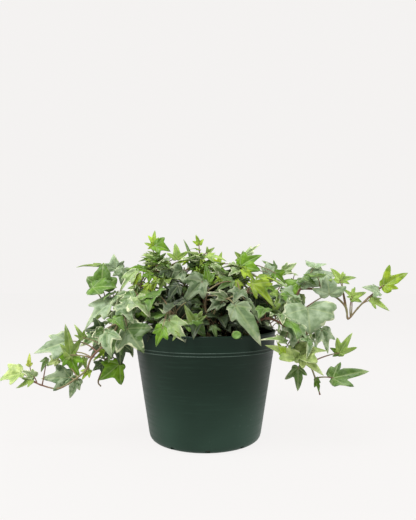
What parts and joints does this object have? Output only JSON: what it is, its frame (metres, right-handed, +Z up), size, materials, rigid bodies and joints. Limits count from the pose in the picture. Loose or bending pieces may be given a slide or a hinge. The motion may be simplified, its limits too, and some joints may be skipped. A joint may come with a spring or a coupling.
{
  "type": "potted ivy",
  "caption": "Trailing ivy with lobed, cream-edged leaves on spreading and hanging stems, rooted in soil in a round tapered plastic pot that stands on its flat base.",
  "frame": {"origin": "centre of the pot's flat base, on the surface it stands on", "axes": "+Z up out of the pot's mouth, +X to the right seen from the front, the front of the plant towards -Y"},
  "size_m": [0.4191, 0.2629, 0.229],
  "materials": {
    "pot": "satin moulded plastic, dark green",
    "soil": "damp crumbly potting mix",
    "bark": "rough bark chip",
    "vine": "waxy grey-green leaf with pale margin on red-brown stem",
    "seedling": "soft young leaf"
  },
  "bodies": {
    "root": {"pot": "pot", "soil": "soil", "seedling": "seedling", "bark_chip_1": "bark", "bark_chip_2": "bark", "bark_chip_3": "bark", "bark_chip_4": "bark", "runner_left_long": "vine", "runner_left_hanging": "vine", "shoot_left": "vine", "shoot_left_back": "vine", "shoot_top_left": "vine", "shoot_top_middle": "vine", "shoot_front_middle": "vine", "shoot_front_left": "vine", "shoot_front_right": "vine", "shoot_top_right": "vine", "runner_right_upper": "vine", "runner_right_long": "vine", "runner_right_drooping": "vine", "shoot_middle_back": "vine", "shoot_right_back": "vine", "runner_back_left": "vine", "runner_back_middle": "vine", "runner_back_right": "vine", "runner_side_left": "vine", "runner_side_right": "vine", "shoot_crown_left": "vine", "shoot_crown_right": "vine"}
  },
  "joints": []
}
